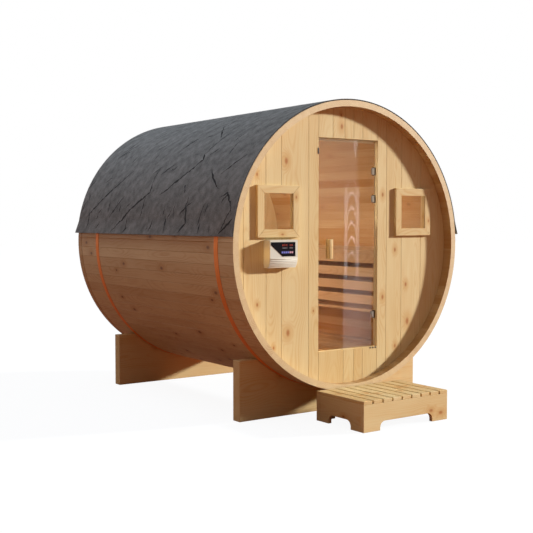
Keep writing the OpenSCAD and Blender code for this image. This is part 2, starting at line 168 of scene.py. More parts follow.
# Lamps in the cabin and close to the wall, which no glass shows: colour, watts, place, aim and shape
for name, colour, power, place, aim, shape in (
        ("cabin_lamp", "#fffaf4", 9.3, (-0.45, 0.25, 1.98), (0.55, 0.25, 0.9), dict(size=0.7)),
        ("seat_glow", "#fff6ec", 0.95, (seat.x - 0.22, 0.3, seat.z + 0.04), (seat.x, 0.3, seat.z + 0.2),
         dict(shape="RECTANGLE", size=1.6, size_y=0.06)),
        ("low_glow", "#ffd9bd", 1.3, (-0.3, -0.2, 0.95), (0.3, 0.2, 0.4), dict(size=0.4)),
        ("foot_glow", "#ffcba4", 2.2, (0.15, 0.3, 0.75), (0.7, 0.35, 0.45), dict(size=0.25)),
        ("front_glow", "#ffe0c4", 0.2, (0.55, -0.65, 1.95), (0.96, -0.5, 1.5),
         dict(size=0.1, spread=math.radians(50))),
        ("rear_glow", "#fff0e4", 4.0, (-0.15, 0.95, 1.8), (0.85, 1.05, 1.55), dict(size=0.35)),
        ("reveal_glow", "#fff2e2", 0.035, reveal, across_reveal,
         dict(shape="RECTANGLE", size=0.01, size_y=0.6, spread=math.radians(8))),
        ("box_glow", "#ffc269", 0.018, box_side - Vector((0.12, 0, 0)), box_side,
         dict(size=0.1, spread=math.radians(70)))):
    inside = lamp(name, "AREA", colour, power, place, aim, **shape)
    inside.visible_glossy = False
    inside.visible_transmission = False

# Reflector: a lit sheet with pale grain stands to the right and shows only in the gloss of the door's glass.
# Its pattern is laid out at twice the door's distance from the camera's mirror image, then shrunk to stand
# nearer.
mirror_eye = Vector((camera.location.x, 2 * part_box("door_glass")[0].y - camera.location.y, camera.location.z))
nearer = 0.7
card_width, card_height, card_middle = 1.05, 3.1, Vector((4.525, -6.22, 1.07))
card_bm = bmesh.new()
bmesh.ops.create_grid(card_bm, x_segments=1, y_segments=1, size=0.5)
bmesh.ops.scale(card_bm, vec=(card_width, card_height, 1), verts=card_bm.verts)
upright = Matrix.Rotation(math.radians(90), 3, "X")
bmesh.ops.rotate(card_bm, cent=(0, 0, 0), matrix=upright, verts=card_bm.verts)
bmesh.ops.translate(card_bm, vec=card_middle - mirror_eye, verts=card_bm.verts)
bmesh.ops.scale(card_bm, vec=(nearer, nearer, nearer), verts=card_bm.verts)
bmesh.ops.translate(card_bm, vec=mirror_eye, verts=card_bm.verts)
# Lit grained sheet: two pale strips with arches between them, a haze at their upper left and a veil below
card_material, tree = bare_material("lit_grained_sheet")
spread = add(tree, "VectorMath", {0: add(tree, "TexCoord").outputs["Object"], 1: [1 / nearer] * 3,
                                  2: mirror_eye * (1 - 1 / nearer)}, operation="MULTIPLY_ADD")
spot = add(tree, "SeparateXYZ", {0: spread}).outputs
across, up = spot[0], spot[2]
left_strip, arches, wedge_line, right_strip = 4.545, 4.655, 4.72, 4.765
off = {}
for middle in (left_strip, arches, wedge_line, right_strip):
    aside = add(tree, "Math", {0: across, 1: middle}, operation="SUBTRACT")
    off[middle] = add(tree, "Math", {0: aside}, operation="ABSOLUTE")
# Arches 220 mm apart
square = add(tree, "Math", {0: off[arches], 1: off[arches]}, operation="MULTIPLY")
bow = add(tree, "Math", {0: square, 1: 20.0, 2: up}, operation="MULTIPLY_ADD")
turns = add(tree, "Math", {0: bow, 1: 2 * math.pi / 0.22}, operation="MULTIPLY")
arch = add(tree, "Math", {0: turns}, operation="SINE")
# A wedge that narrows downward near the sheet's top
half = add(tree, "MapRange", {"Value": up, 1: 2.2, 2: 2.6, 3: 0.0, 4: 0.05}, interpolation_type="SMOOTHSTEP")
wedge = add(tree, "Math", {0: half, 1: off[wedge_line]}, operation="SUBTRACT")
# Each lit part is a product of soft ramps: the value, where the ramp starts and ends, and its two levels
strip_ends = [(up, 1.72, 2.0, 1.0, 0.0), (up, 0.45, 0.65, 0.0, 1.0)]
lit_parts = (
    [(across, 4.72, 4.80, 2.2, 0.0), (up, 1.2, 1.8, 0.0, 1.0)],
    [(across, 4.490, 4.505, 0.0, 1.0), (across, 4.83, 4.86, 4.2, 3.0), (up, 0.45, 0.7, 1.0, 0.0)],
    [(off[left_strip], 0.024, 0.038, 7.0, 0.0)] + strip_ends,
    [(off[right_strip], 0.026, 0.042, 7.0, 0.0)] + strip_ends,
    [(arch, 0.55, 0.95, 0.0, 11.0), (off[arches], 0.06, 0.095, 1.0, 0.0), (up, 1.75, 2.05, 1.0, 0.0),
     (up, 0.7, 1.0, 0.0, 1.0)],
    [(wedge, 0.0, 0.02, 0.0, 6.0)])
total = 0.0
for ramps in lit_parts:
    part = 1.0
    for value, start, end, low, high in ramps:
        ramp = add(tree, "MapRange", {"Value": value, 1: start, 2: end, 3: low, 4: high},
                   interpolation_type="SMOOTHSTEP")
        part = add(tree, "Math", {0: part, 1: ramp}, operation="MULTIPLY")
    total = add(tree, "Math", {0: total, 1: part}, operation="ADD")
shader = add(tree, "Emission", {"Color": linear("#f3f5fa"), "Strength": total})
add(tree, "OutputMaterial", {"Surface": shader})
card = link_mesh("reflector", card_bm, card_material)
for ray in ("camera", "diffuse", "transmission", "shadow"):
    setattr(card, "visible_" + ray, False)

# Cradles. Two thick planed pine boards stand on edge across the barrel. Each is hollowed to the round of
# the staves, which rest in it under their own weight.
barrel_middle = (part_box("rear_wall")[0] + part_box("rear_wall")[1]) / 2
axis_z = barrel_middle.z
front_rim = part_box("stave_panel_01")[0].y
rear_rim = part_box("stave_panel_01")[1].y
X, Y, Z = Vector((1, 0, 0)), Vector((0, 1, 0)), Vector((0, 0, 1))


def timber(node=None):
    """A bmesh for boards, empty or with a CAD node's solid. A board's vertices get its number and grain."""
    bm = bmesh.new()
    if node:
        bm.from_mesh(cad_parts[node].data)
        bmesh.ops.remove_doubles(bm, verts=bm.verts, dist=1e-6)
        bmesh.ops.dissolve_limit(bm, angle_limit=math.radians(0.5), verts=bm.verts, edges=bm.edges)
    bm.verts.layers.int.new("number")
    for layer in ("grain", "board", "knot", "knot_two"):
        bm.verts.layers.float_vector.new(layer)
    return bm


def newest(bm):
    """Vertices, edges and faces of the board that has no number yet."""
    number = bm.verts.layers.int["number"]
    verts = [v for v in bm.verts if v[number] == 0]
    edges = [e for e in bm.edges if e.verts[0][number] == 0]
    faces = [f for f in bm.faces if f.verts[0][number] == 0]
    return verts, edges, faces


def ease(bm, edges, width, segments=2, clamp=True):
    """Planes off these edges by a small round."""
    bmesh.ops.bevel(bm, geom=edges, offset=width, offset_type="OFFSET", affect="EDGES", segments=segments,
                    profile=0.5, material=-1, clamp_overlap=clamp)


def sharp_edges(edges, angle=30):
    """Those of the edges where two faces turn by more than this angle."""
    return [e for e in edges if e.is_manifold and e.calc_face_angle(0) > math.radians(angle)]


def set_grain(bm, along, across, origin, draw, tone=None, knots=None):
    """Numbers the newest board and marks its grain, its tone and up to two knots as (point, radius)."""
    layers = bm.verts.layers
    verts = newest(bm)[0]
    inward = along.cross(across)
    start = draw.uniform(1, 30)
    tone = draw.uniform(-1, 1) if tone is None else tone
    pith = (draw.uniform(-0.05, 0.05), draw.uniform(0.035, 0.11))
    places = [Vector(((v.co - origin).dot(along), (v.co - origin).dot(across), (v.co - origin).dot(inward)))
              for v in verts]
    if knots is None:
        length = max(p.x for p in places)
        half = max(abs(p.y) for p in places)
        marks = [Vector((draw.uniform(0.15, length - 0.15), draw.uniform(-0.7, 0.7) * half,
                         draw.uniform(0.007, 0.013))) for _ in range(draw.choice((0, 1, 1, 1)))]
    else:
        marks = [Vector(((p - origin).dot(along), (p - origin).dot(across), r)) for p, r in knots]
    marks += [Vector((-90, 0, 0.001))] * (2 - len(marks))
    number = 1 + max((v[layers.int["number"]] for v in bm.verts), default=0)
    for v, p in zip(verts, places):
        v[layers.int["number"]] = number
        v[layers.float_vector["grain"]] = p + Vector((start, 0, 0))
        v[layers.float_vector["board"]] = (tone, *pith)
        v[layers.float_vector["knot"]] = marks[0] + Vector((start, 0, 0))
        v[layers.float_vector["knot_two"]] = marks[1] + Vector((start, 0, 0))


def piece(name, bm, material, slot, *nodes, body="cabin", smooth=False):
    """Makes a finished bmesh one piece of the scene, which stands for these CAD nodes."""
    bmesh.ops.recalc_face_normals(bm, faces=bm.faces)
    made = link_mesh(name, bm, material)
    if smooth:
        made.data.shade_smooth()
        made.data.set_sharp_from_angle(angle=math.radians(35))
    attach(made, body)
    if nodes:
        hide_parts(*nodes)


def pine(name, pale, deep, ring, knot_colour, gloss=0.14):
    """Planed pine: pale early wood, darker arches of late wood, fine fibres, and knots with a warm halo."""
    material, tree = bare_material(name)
    grain = add(tree, "Attribute", attribute_name="grain").outputs["Vector"]
    board = add(tree, "Attribute", attribute_name="board").outputs["Vector"]
    board = add(tree, "SeparateXYZ", {0: board}).outputs
    # The pith wanders some 30 mm in a metre, which draws the arches on a sawn face
    slow = add(tree, "VectorMath", {0: grain, 1: (1.3, 2.0, 2.0)}, operation="MULTIPLY")
    wander = add(tree, "TexNoise", {"Vector": slow, "Scale": 1.0, "Detail": 2.0})
    wander = add(tree, "VectorMath", {0: wander.outputs["Color"], 1: (0.5, 0.5, 0.5)}, operation="SUBTRACT")
    wander = add(tree, "VectorMath", {0: wander, 1: (0, 0.12, 0.22)}, operation="MULTIPLY")
    pith = add(tree, "CombineXYZ", {1: board[1], 2: board[2]})
    flat = add(tree, "VectorMath", {0: grain, 1: (0, 1, 1)}, operation="MULTIPLY")
    reach = add(tree, "VectorMath", {0: flat, 1: pith}, operation="SUBTRACT")
    reach = add(tree, "VectorMath", {0: reach, 1: wander}, operation="ADD")
    radius = add(tree, "VectorMath", {0: reach}, operation="LENGTH")
    knotty, halo = 0.0, 0.0
    for layer in ("knot", "knot_two"):
        mark = add(tree, "Attribute", attribute_name=layer).outputs["Vector"]
        size = add(tree, "SeparateXYZ", {0: mark}).outputs[2]
        off = add(tree, "VectorMath", {0: grain, 1: mark}, operation="SUBTRACT")
        off = add(tree, "VectorMath", {0: off, 1: (0.62, 1.0, 0)}, operation="MULTIPLY")
        away = add(tree, "VectorMath", {0: off}, operation="LENGTH")
        away = add(tree, "Math", {0: away, 1: size}, operation="DIVIDE")
        core = add(tree, "MapRange", {"Value": away, 1: 0.3, 2: 1.4, 3: 1.0, 4: 0.0},
                   interpolation_type="SMOOTHSTEP")
        near = add(tree, "MapRange", {"Value": away, 1: 0.6, 2: 4.8, 3: 1.0, 4: 0.0},
                   interpolation_type="SMOOTHERSTEP")
        # The rings bend round a knot
        swell = add(tree, "Math", {0: near, 1: size}, operation="MULTIPLY")
        radius = add(tree, "Math", {0: swell, 1: 2.2, 2: radius}, operation="MULTIPLY_ADD")
        knotty = add(tree, "Math", {0: knotty, 1: core}, operation="MAXIMUM")
        halo = add(tree, "Math", {0: halo, 1: near}, operation="MAXIMUM")
    # Real rings lie 2 to 4 mm apart; they are drawn 11 mm apart so that they show in the render
    turns = add(tree, "Math", {0: radius, 1: 2 * math.pi / 0.011}, operation="MULTIPLY")
    wave = add(tree, "Math", {0: turns}, operation="SINE")
    wave = add(tree, "Math", {0: wave, 1: 0.5, 2: 0.5}, operation="MULTIPLY_ADD")
    late = add(tree, "Math", {0: wave, 1: 2.5}, operation="POWER")
    # Fibres, drawn 8 mm apart for the same reason, and warm patches a hand wide
    fine = add(tree, "VectorMath", {0: grain, 1: (2.2, 120.0, 120.0)}, operation="MULTIPLY")
    fibre = add(tree, "TexNoise", {"Vector": fine, "Scale": 1.0, "Detail": 3.0})
    broad = add(tree, "VectorMath", {0: grain, 1: (1.6, 9.0, 9.0)}, operation="MULTIPLY")
    patch = add(tree, "TexNoise", {"Vector": broad, "Scale": 1.0, "Detail": 2.0})

    shade = -0.45
    for value, weight in ((board[0], -0.33), (fibre, 0.7), (patch, 0.9)):
        shade = add(tree, "Math", {0: value, 1: weight, 2: shade}, operation="MULTIPLY_ADD")
    colour = add(tree, "Mix", {0: shade, 6: linear(pale), 7: linear(deep)}, data_type="RGBA",
                 clamp_factor=False)
    strong = add(tree, "MapRange", {"Value": patch, 1: 0.35, 2: 0.7, 3: 0.05, 4: 0.42})
    rings = add(tree, "Math", {0: late, 1: strong}, operation="MULTIPLY")
    warm = add(tree, "Math", {0: halo, 1: 0.5}, operation="MULTIPLY")
    # A knot is darkest on the outer face
    depth = add(tree, "SeparateXYZ", {0: grain}).outputs[2]
    deep_knot = add(tree, "MapRange", {"Value": depth, 1: 0.015, 2: 0.04, 3: 0.75, 4: 0.35})
    dark = add(tree, "Math", {0: knotty, 1: deep_knot}, operation="MULTIPLY")
    for share, tint in ((rings, ring), (warm, ring), (dark, knot_colour)):
        colour = add(tree, "Mix", {0: share, 6: colour, 7: linear(tint)}, data_type="RGBA")

    relief = add(tree, "Math", {0: fibre, 1: 0.6, 2: rings}, operation="MULTIPLY_ADD")
    bump = add(tree, "Bump", {"Strength": 0.25, "Distance": 0.0006, "Height": relief})
    rough = add(tree, "Math", {0: fibre, 1: 0.25, 2: 0.45}, operation="MULTIPLY_ADD")
    shader = add(tree, "BsdfPrincipled", {"Base Color": colour, "Roughness": rough,
                                          "Normal": bump, "Specular IOR Level": gloss})
    add(tree, "OutputMaterial", {"Surface": shader})
    return material


# Planed Nordic pine, satin oiled: straw coloured, with soft honey arches and a few brown knots
wall_pine = pine("planed_nordic_pine", "#dfcc9e", "#d2b37c", "#c8995a", "#a4602c")
for name, seed in (("cradle_front_board", 11), ("cradle_rear_board", 12)):
    draw = random.Random(seed)
    low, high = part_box(name)
    bm = timber(name)
    ease(bm, sharp_edges(bm.edges), 0.003)
    set_grain(bm, X, Z, Vector((low.x, low.y, (low.z + high.z) / 2)), draw, tone=-0.2,
              knots=[(Vector((low.x + 0.36, low.y, low.z + 0.30)), 0.011),
                     (Vector((high.x - 0.30, low.y, low.z + 0.12)), 0.009)])
    piece(name.replace("_board", "_plank"), bm, wall_pine, "pine", name)

# Staves. Eighty-four wedge-shaped pine staves lie edge to edge round the barrel. Each is grooved inside for
# the two end walls and scored near its rear end, and the hoops pull them together.
stave_count, staves_each = 84, 7
stave_outer, stave_inner = 1.050, 1.005
stave_turn = math.radians(360 / stave_count)
stave_length = rear_rim - front_rim
flat_out, flat_in = stave_outer * math.cos(stave_turn / 2), stave_inner * math.cos(stave_turn / 2)
stave_thick = flat_out - flat_in
wall_recess, wall_thick, groove_floor = 0.080, 0.045, 1.017
score_inset, score_width, score_depth = 0.072, 0.007, 0.006
joint_chamfer, inner_chamfer, sawn_end = 0.0026, 0.0004, 0.002
# Planed pine of the staves: the same wood with more colour between boards, dark in its joints
stave_pine = pine("planed_stave_pine", "#d6be92", "#be9b6b", "#b07f4c", "#5e3817", gloss=0.6)


def cut_newest(bm, at, normal, clear=False):
    """Cuts the newest board at a plane, and clears what lies beyond it if asked to."""
    verts, edges, faces = newest(bm)
    bmesh.ops.bisect_plane(bm, geom=verts + edges + faces, dist=1e-7, plane_co=at, plane_no=normal,
                           clear_outer=clear)


def block(bm, size, middle):
    """A box of this size round a point."""
    verts = bmesh.ops.create_cube(bm, size=1.0)["verts"]
    bmesh.ops.scale(bm, vec=size, verts=verts)
    bmesh.ops.translate(bm, vec=middle, verts=verts)
    return verts


def set_down(bm, along, across, inward, origin):
    """Moves the newest board from its own frame to its place."""
    place = Matrix((along, across, inward)).transposed().to_4x4()
    place.translation = origin
    bmesh.ops.transform(bm, matrix=place, verts=newest(bm)[0])


def stave(bm):
    """One stave in its own frame: X along it from the front rim, Y across it, Z into the wood."""
    stave_width = 2 * stave_outer * math.sin(stave_turn / 2)
    verts = block(bm, (stave_length, stave_width, stave_thick), (stave_length / 2, 0, stave_thick / 2))
    bmesh.ops.scale(bm, vec=(1, stave_inner / stave_outer, 1),
                    verts=[v for v in verts if v.co.z > stave_thick / 2])
    for inner, chamfer in ((False, joint_chamfer), (True, inner_chamfer)):
        long_edges = [e for e in newest(bm)[1] if abs(e.verts[0].co.x - e.verts[1].co.x) > 0.1]
        ease(bm, [e for e in long_edges if (e.verts[0].co.z > stave_thick / 2) == inner], chamfer, 1)
    cut_newest(bm, (sawn_end, 0, 0), X)
    hair, groove_depth = 0.0002, groove_floor - flat_in
    front_seat = (wall_recess, wall_recess + wall_thick)
    rear_seat = (stave_length - wall_recess - wall_thick, stave_length - wall_recess)
    score = (stave_length - score_inset, stave_length - score_inset + score_width)
    for (begin, end), inner, depth in ((front_seat, True, groove_depth), (rear_seat, True, groove_depth),
                                       (score, False, score_depth)):
        for at in (begin, begin + hair, end - hair, end):
            cut_newest(bm, (at, 0, 0), X)
        for v in newest(bm)[0]:
            if begin + hair / 2 < v.co.x < end - hair / 2 and (v.co.z > stave_thick / 2) == inner:
                v.co.z += -depth if inner else depth


joint_tone, recess_painted_shade, cabin_painted_shade, score_dark, end_tone = -3.4, 2.0, 2.8, 2.4, 0.7
stave_draw = random.Random(7)
for panel in range(stave_count // staves_each):
    bm = timber()
    for k in range(staves_each):
        turn = math.radians(-90) + (panel * staves_each + k - staves_each / 2 + 0.5) * stave_turn
        outward = Vector((math.cos(turn), 0, math.sin(turn)))
        across = Vector((math.sin(turn), 0, -math.cos(turn)))
        origin = Vector((0, front_rim, axis_z)) + flat_out * outward
        stave(bm)
        set_down(bm, Y, across, -outward, origin)
        marks = [(origin + Y * stave_draw.uniform(0.15, stave_length - 0.15)
                  + across * stave_draw.uniform(-0.022, 0.022), stave_draw.uniform(0.008, 0.014))
                 for _ in range(stave_draw.choice((0, 1, 1, 2)))]
        set_grain(bm, Y, across, origin, stave_draw, knots=marks)
    # Joints and the strip behind the score line are darker, sawn ends paler. The faces inside are darker too,
    # as painted shade in the recess before the front wall and in the cabin
    shade, grain = bm.verts.layers.float_vector["board"], bm.verts.layers.float_vector["grain"]
    for v in bm.verts:
        if 0.001 < v[grain].z < stave_thick - 0.001:
            v[shade].x = joint_tone
        elif v[grain].z > stave_thick / 2:
            # Painted shade: the inner faces are made darker and redder, more so inside the cabin
            v[shade].x -= recess_painted_shade if v.co.y < front_rim + wall_recess + 1e-4 else cabin_painted_shade
        elif v.co.y > rear_rim - score_inset + score_width / 2:
            v[shade].x -= score_dark
        if v.co.y < front_rim + 1e-4:
            v[shade].x = end_tone
    node = "stave_panel_%02d" % (panel + 1)
    piece("staves_%02d" % (panel + 1), bm, stave_pine, "pine", node)

# End walls. Upright tongue-and-groove pine boards fill both ends of the barrel and sit in the staves' groove.
# The front wall is framed round the doorway by two jamb boards, a header and a sill panel.
seat_gap = 0.0003
wall_radius = groove_floor - seat_gap
wall_front = front_rim + wall_recess
joint_gap, joint_ease, gap_tone = 0.0022, 0.0006, -2.6
tongue_half, tongue_front, tongue_thick = 0.006, wall_thick * 0.4, wall_thick * 0.2


def draw_out(bm, faces, vec):
    """Extrudes faces along a vector."""
    grown = bmesh.ops.extrude_face_region(bm, geom=faces)["geom"]
    bmesh.ops.translate(bm, vec=vec, verts=[g for g in grown if isinstance(g, bmesh.types.BMVert)])


def wall_board(bm, left, right, bottom, top, hole=None, front=0.0, thick=wall_thick, eased=True):
    """A board cut from the wall's disc, in the wall's frame: X up, Y to the right, Z into the wall."""
    bmesh.ops.create_circle(bm, cap_ends=True, radius=wall_radius, segments=240)
    for at, normal in ((left * Y, -Y), (right * Y, Y), (bottom * X, -X), (top * X, X)):
        cut_newest(bm, at, normal, clear=True)
    if hole:
        for at, normal in ((hole[0] * Y, Y), (hole[1] * Y, Y), (hole[2] * X, X), (hole[3] * X, X)):
            cut_newest(bm, at, normal)
        inside = [f for f in newest(bm)[2] if hole[0] < f.calc_center_median().y < hole[1]
                  and hole[2] < f.calc_center_median().x < hole[3]]
        bmesh.ops.delete(bm, geom=inside, context="FACES")
    bmesh.ops.translate(bm, vec=(0, 0, front), verts=newest(bm)[0])
    draw_out(bm, newest(bm)[2], (0, 0, thick))
    bmesh.ops.recalc_face_normals(bm, faces=newest(bm)[2])
    if eased:
        # The edges of both faces, apart from those that lie in the staves' groove
        flat = [e for e in sharp_edges(newest(bm)[1]) if abs(e.verts[0].co.z - e.verts[1].co.z) < 1e-6]
        ease(bm, [e for e in flat if min(v.co.xy.length for v in e.verts) < wall_radius - 1e-3
                  or abs(e.verts[0].co.y - e.verts[1].co.y) < 1e-6], joint_ease, 1, clamp=False)


def boarded_wall(name, node, joints, bottom=-2.0, top=2.0, hole=None, front=wall_front, seed=0, knots=(),
                 seams=()):
    """Boards between these joints, with the tongues that close them and the seams to the next piece."""
    draw = random.Random(seed)
    bm = timber()
    middle_front = (0, front, axis_z)
    for left, right in zip(joints, joints[1:]):
        from_left, from_right = (joint_gap / 2 if at in joints[1:-1] else joint_gap if at in seams else 0.0
                                 for at in (left, right))
        wall_board(bm, left + from_left, right - from_right, bottom, top, hole)
        set_down(bm, Z, X, Y, middle_front)
        middle = (max(left, -1.0) + min(right, 1.0)) / 2
        here = [(Vector((x, front, axis_z + z)), r) for x, z, r in knots if left < x < right]
        set_grain(bm, Z, X, Vector((middle, front, axis_z - 1.0)), draw, knots=here)
    for joint in joints[1:-1] + list(seams):
        wall_board(bm, joint - tongue_half, joint + tongue_half, bottom, top, hole, tongue_front,
                   tongue_thick, eased=False)
        set_down(bm, Z, X, Y, middle_front)
        set_grain(bm, Z, X, Vector((joint, front, axis_z - 1.0)), draw)
    # The depth of each joint is darker, but not the sides of the doorway
    shade = bm.verts.layers.float_vector["board"]
    for v in bm.verts:
        if front + 0.001 < v.co.y < front + wall_thick - 0.001 and min(
                abs(v.co.x - door_left), abs(v.co.x - door_right)) > 1e-4:
            v[shade].x = gap_tone
    piece(name, bm, wall_pine, "pine", node)


door_left, door_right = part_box("door_header")[0].x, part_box("door_header")[1].x
rear_joints = [-2.0] + [-0.84 + 0.14 * i for i in range(13)] + [2.0]
boarded_wall("rear_wall_boards", "rear_wall", rear_joints, front=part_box("rear_wall")[0].y, seed=31)
jamb_left, jamb_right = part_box("door_jamb_left")[0].x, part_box("door_jamb_right")[1].x
door_top, door_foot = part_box("door_header")[0].z - axis_z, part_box("door_sill_panel")[1].z - axis_z


def window_hole(glass):
    """The window's hole in the wall, from its glass: left, right, bottom and top in the wall's frame."""
    low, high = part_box(glass)
    return (low.x - seat_gap, high.x + seat_gap, low.z - seat_gap - axis_z, high.z + seat_gap - axis_z)


boarded_wall("front_boards_left", "front_wall_left", [-2.0, -0.912, -0.725, -0.592, jamb_left],
             hole=window_hole("window_glass_left"), seed=322, seams=[jamb_left],
             knots=[(-0.799, -0.392, 0.009), (-0.536, -0.603, 0.016), (-0.551, 0.600, 0.015),
                    (-0.80, 0.50, 0.008), (-0.66, -0.70, 0.008), (-0.41, -0.11, 0.009)])
boarded_wall("front_boards_right", "front_wall_right", [jamb_right, 0.544, 0.746, 2.0],
             hole=window_hole("window_glass_right"), seed=33, seams=[jamb_right],
             knots=[(0.478, -0.037, 0.011), (0.484, -0.772, 0.010), (0.593, -0.305, 0.011),
                    (0.611, -0.590, 0.018)])
boarded_wall("jamb_board_left", "door_jamb_left", [jamb_left, door_left], seed=34,
             knots=[(-0.31, -0.46, 0.006)])
boarded_wall("jamb_board_right", "door_jamb_right", [door_right, jamb_right], seed=35,
             knots=[(0.350, 0.379, 0.011), (0.354, -0.392, 0.012)])
boarded_wall("header_boards", "door_header", [door_left, -0.133, -0.021, 0.064, 0.151, door_right],
             bottom=door_top, seed=36, seams=[door_left, door_right],
             knots=[(-0.051, 0.865, 0.013), (-0.058, 0.946, 0.008)])
boarded_wall("sill_boards", "door_sill_panel", [door_left, -0.030, 0.072, 0.155, door_right],
             top=door_foot, seed=37, seams=[door_left, door_right])

# Windows. Each small square pane beds in a mitred pine casing that is rebated for it from behind and nailed
# over the wall's hole. A lining with a thinner casing closes on the pane from the cabin side.


def mitred_frame(bm, middle, side, section, draw, edge):
    """Four mitred boards round a square. The section runs inward from the frame's edge and front to back."""
    for quarter in range(4):
        turn = Matrix.Rotation(quarter * math.pi / 2, 3, "Y")
        along, across = turn @ -X, turn @ Z
        bm.faces.new([bm.verts.new((-side / 2, inward, depth)) for inward, depth in section])
        draw_out(bm, newest(bm)[2], (side, 0, 0))
        for end in (-1, 1):
            cut_newest(bm, (end * side / 2, 0, 0), (end, 1, 0), clear=True)
            bmesh.ops.holes_fill(bm, edges=[e for e in newest(bm)[1] if e.is_boundary])
        bmesh.ops.recalc_face_normals(bm, faces=newest(bm)[2])
        ease(bm, sharp_edges(newest(bm)[1]), edge)
        outer = Vector((middle.x, 0, middle.z)) - side / 2 * across
        set_down(bm, along, across, Y, outer)
        half_board = 0.028
        origin = outer - along * side / 2 + across * half_board + Y * section[0][1]
        knot = origin + along * draw.uniform(0.05, side - 0.05) + across * draw.uniform(-0.014, 0.014)
        tone = draw.uniform(-0.4, 0.9)
        set_grain(bm, along, across, origin, draw, tone=tone, knots=draw.choice(([], [(knot, 0.008)])))


for hand, seed in (("left", 41), ("right", 42)):
    draw = random.Random(seed)
    low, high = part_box("window_frame_" + hand)
    middle = (low + high) / 2
    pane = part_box("window_glass_" + hand)
    inner_low, inner_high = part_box("window_inner_frame_" + hand)
    casing_border, inner_border, lining = 0.056, 0.044, 0.010
    cheek = pane[0].x - low.x - seat_gap
    bm = timber()
    mitred_frame(bm, middle, high.x - low.x, [
        (0, low.y), (casing_border, low.y), (casing_border, pane[0].y), (cheek, pane[0].y), (cheek, high.y),
        (0, high.y)], draw, 0.002)
    piece("window_casing_" + hand, bm, wall_pine, "pine", "window_frame_" + hand)
    wall_back = wall_front + wall_thick
    bm = timber()
    mitred_frame(bm, middle, inner_high.x - inner_low.x, [
        (0, wall_back), (inner_border, wall_back), (inner_border, inner_high.y), (0, inner_high.y)],
        draw, 0.002)
    mitred_frame(bm, middle, pane[1].x - pane[0].x, [
        (0, pane[1].y), (lining, pane[1].y), (lining, wall_back), (0, wall_back)], draw, 0.0005)
    piece("window_inner_casing_" + hand, bm, wall_pine, "pine", "window_inner_frame_" + hand)


def float_glass(name, tint, ior):
    """Float glass: clear, with a faint wipe mark that breaks its gloss. Lamps shine through it."""
    material, tree = bare_material(name)
    place = add(tree, "TexCoord").outputs["Object"]
    # Wipe marks some 90 mm wide
    smear = add(tree, "TexNoise", {"Vector": place, "Scale": 11.0, "Detail": 2.0})
    rough = add(tree, "MapRange", {"Value": smear, 1: 0.45, 2: 0.75, 3: 0.0, 4: 0.001})
    shader = add(tree, "BsdfPrincipled", {"Base Color": linear(tint), "Roughness": rough, "IOR": ior,
                                          "Transmission Weight": 1.0})
    through = add(tree, "BsdfTransparent", {"Color": linear(tint)})
    shadow = add(tree, "LightPath").outputs["Is Shadow Ray"]
    both = add(tree, "MixShader", {0: shadow, 1: shader, 2: through})
    add(tree, "OutputMaterial", {"Surface": both})
    return material


# Clear float glass, which shows a soft reflection of the studio
pane_glass = float_glass("clear_float_glass", "#fcf6ee", 1.17)
for hand in ("left", "right"):
    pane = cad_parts["window_glass_" + hand]
    pane.data.materials.clear()
    pane.data.materials.append(pane_glass)

# Floor and bench. Pine floor boards are screwed down on three bearers cut to the round of the staves. The
# bench has long seat boards on three brackets, and a slatted front with a rail along its foot.
# Untreated pine of the cabin: the outside wood painted warmer and darker, as painted shade for the dim cabin
cabin_pine = pine("cabin_pine_painted_shade", "#cfaf86", "#b89266", "#a67a4c", "#7a4722")


def plank(bm, low, high, along, draw, edge=0.003, knots=None):
    """A planed board that fills a box, with its grain along one axis."""
    size, middle = high - low, (low + high) / 2
    block(bm, size, middle)
    ease(bm, newest(bm)[1], edge)
    others = sorted((axis for axis in (X, Y, Z) if axis != along), key=lambda axis: -abs(size.dot(axis)))
    set_grain(bm, along, others[0], middle - along * abs(size.dot(along)) / 2, draw, knots=knots)


def boards_side_by_side(node, count, gap, draw):
    """Boards along Y that fill a CAD node's box from left to right, with gaps between them."""
    low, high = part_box(node)
    width = (high.x - low.x - (count - 1) * gap) / count
    bm = timber()
    for i in range(count):
        left = low.x + i * (width + gap)
        plank(bm, Vector((left, low.y, low.z)), Vector((left + width, high.y, high.z)), Y, draw)
    return bm


draw = random.Random(51)
bm = boards_side_by_side("floor_deck", 9, 0.009, draw)
# The floor boards are painted darker, as painted shade low in the cabin
shade, floor_painted_shade = bm.verts.layers.float_vector["board"], 3.0
for v in bm.verts:
    v[shade].x -= floor_painted_shade
piece("deck_boards", bm, cabin_pine, "pine_cabin", "floor_deck")

bm = boards_side_by_side("bench_seat", 5, 0.012, draw)
piece("seat_boards", bm, cabin_pine, "pine_cabin", "bench_seat")

low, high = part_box("bench_front")
slat, pitch, rail = 0.070, 0.106, 0.022
bm = timber()
for i in range(4):
    top = high.z - i * pitch
    plank(bm, Vector((low.x, low.y, top - slat)), Vector((high.x, high.y, top)), Y, draw)
plank(bm, low, Vector((high.x, high.y, low.z + rail)), Y, draw)
piece("bench_slats", bm, cabin_pine, "pine_cabin", "bench_front")

for name, made, along, across in (("floor_bearers", "deck_bearers", X, Z),
                                  ("bench_brackets", "seat_brackets", Z, X)):
    bm = timber(name)
    ease(bm, sharp_edges(bm.edges), 0.002)
    set_grain(bm, along, across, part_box(name)[0], draw)
    piece(made, bm, cabin_pine, "pine_cabin", name)

# Glass door. One frameless leaf of tempered glass hangs on three steel hinges that grip it in notches. A pine
# pull is bolted through it, and a small steel catch on the jamb holds it shut.
# Bronze tempered glass, which warms what is seen through it
door_glass = float_glass("bronze_tempered_glass", "#fbf5ee", 1.28)
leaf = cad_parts["door_glass"]
leaf.data.materials.clear()
leaf.data.materials.append(door_glass)

